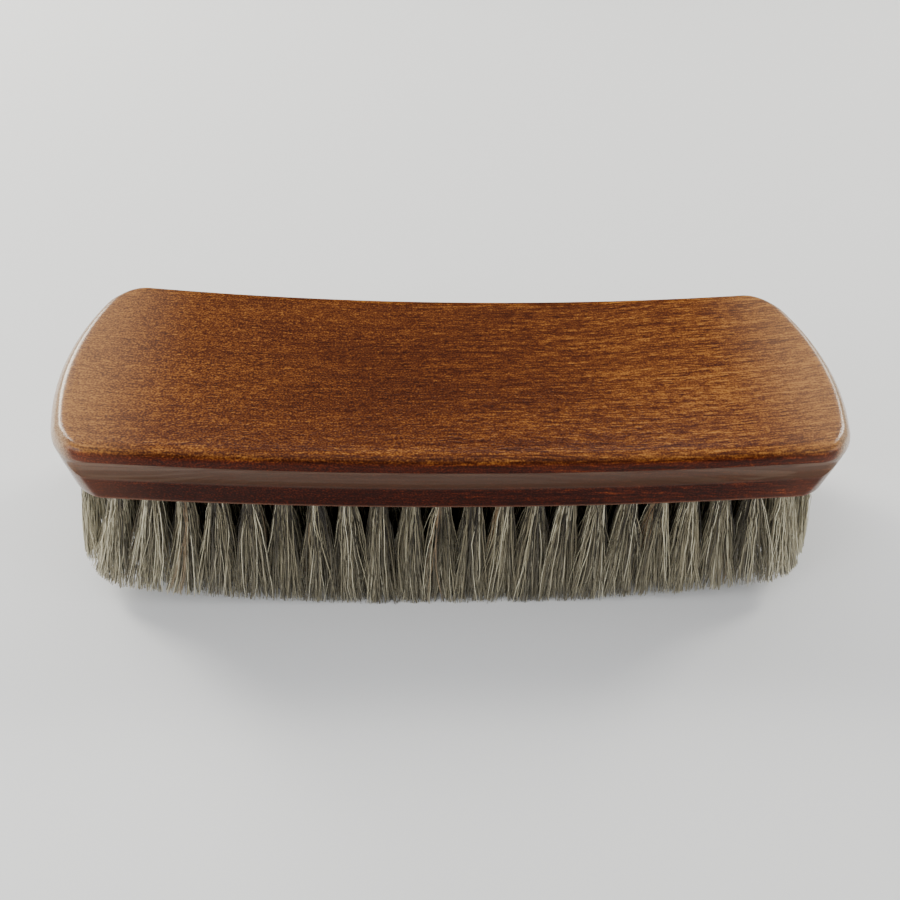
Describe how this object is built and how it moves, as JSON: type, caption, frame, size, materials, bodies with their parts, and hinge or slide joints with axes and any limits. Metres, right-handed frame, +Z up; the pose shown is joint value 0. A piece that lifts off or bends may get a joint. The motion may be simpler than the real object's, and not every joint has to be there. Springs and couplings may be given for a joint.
{
  "type": "shoe shine brush",
  "caption": "Shoe shine brush: a saddle-shaped varnished beech block with finger grooves along both sides, set with rows of soft grey-brown hair tufts.",
  "frame": {"origin": "middle of the brush's outline, on the ground plane that the bristle tips stand on", "axes": "+X along the brush's length, +Y across it, +Z up from the bristle tips to the top of the block"},
  "size_m": [0.172, 0.0622, 0.0493],
  "materials": {
    "varnished_beech": "stained red-brown and varnished to a satin gloss",
    "brush_hair": "natural grey-brown hair, paler at the tips",
    "anchor_wire": "flat drawn wire"
  },
  "bodies": {
    "root": {"block": "varnished_beech", "tuft_row_01": "brush_hair", "tuft_row_02": "brush_hair", "tuft_row_03": "brush_hair", "tuft_row_04": "brush_hair", "tuft_row_05": "brush_hair", "tuft_row_06": "brush_hair", "tuft_row_07": "brush_hair", "tuft_row_08": "brush_hair", "tuft_row_09": "brush_hair", "tuft_row_10": "brush_hair", "tuft_row_11": "brush_hair", "tuft_row_12": "brush_hair", "tuft_row_13": "brush_hair", "tuft_row_14": "brush_hair", "tuft_row_15": "brush_hair", "tuft_row_16": "brush_hair", "tuft_row_17": "brush_hair", "tuft_row_18": "brush_hair", "tuft_row_19": "brush_hair", "tuft_row_20": "brush_hair", "tuft_row_21": "brush_hair", "tuft_row_22": "brush_hair", "tuft_row_23": "brush_hair", "tuft_row_24": "brush_hair", "anchor_row_01": "anchor_wire", "anchor_row_02": "anchor_wire", "anchor_row_03": "anchor_wire", "anchor_row_04": "anchor_wire", "anchor_row_05": "anchor_wire", "anchor_row_06": "anchor_wire", "anchor_row_07": "anchor_wire", "anchor_row_08": "anchor_wire", "anchor_row_09": "anchor_wire", "anchor_row_10": "anchor_wire", "anchor_row_11": "anchor_wire", "anchor_row_12": "anchor_wire", "anchor_row_13": "anchor_wire", "anchor_row_14": "anchor_wire", "anchor_row_15": "anchor_wire", "anchor_row_16": "anchor_wire", "anchor_row_17": "anchor_wire", "anchor_row_18": "anchor_wire", "anchor_row_19": "anchor_wire", "anchor_row_20": "anchor_wire", "anchor_row_21": "anchor_wire", "anchor_row_22": "anchor_wire", "anchor_row_23": "anchor_wire", "anchor_row_24": "anchor_wire"}
  },
  "joints": []
}
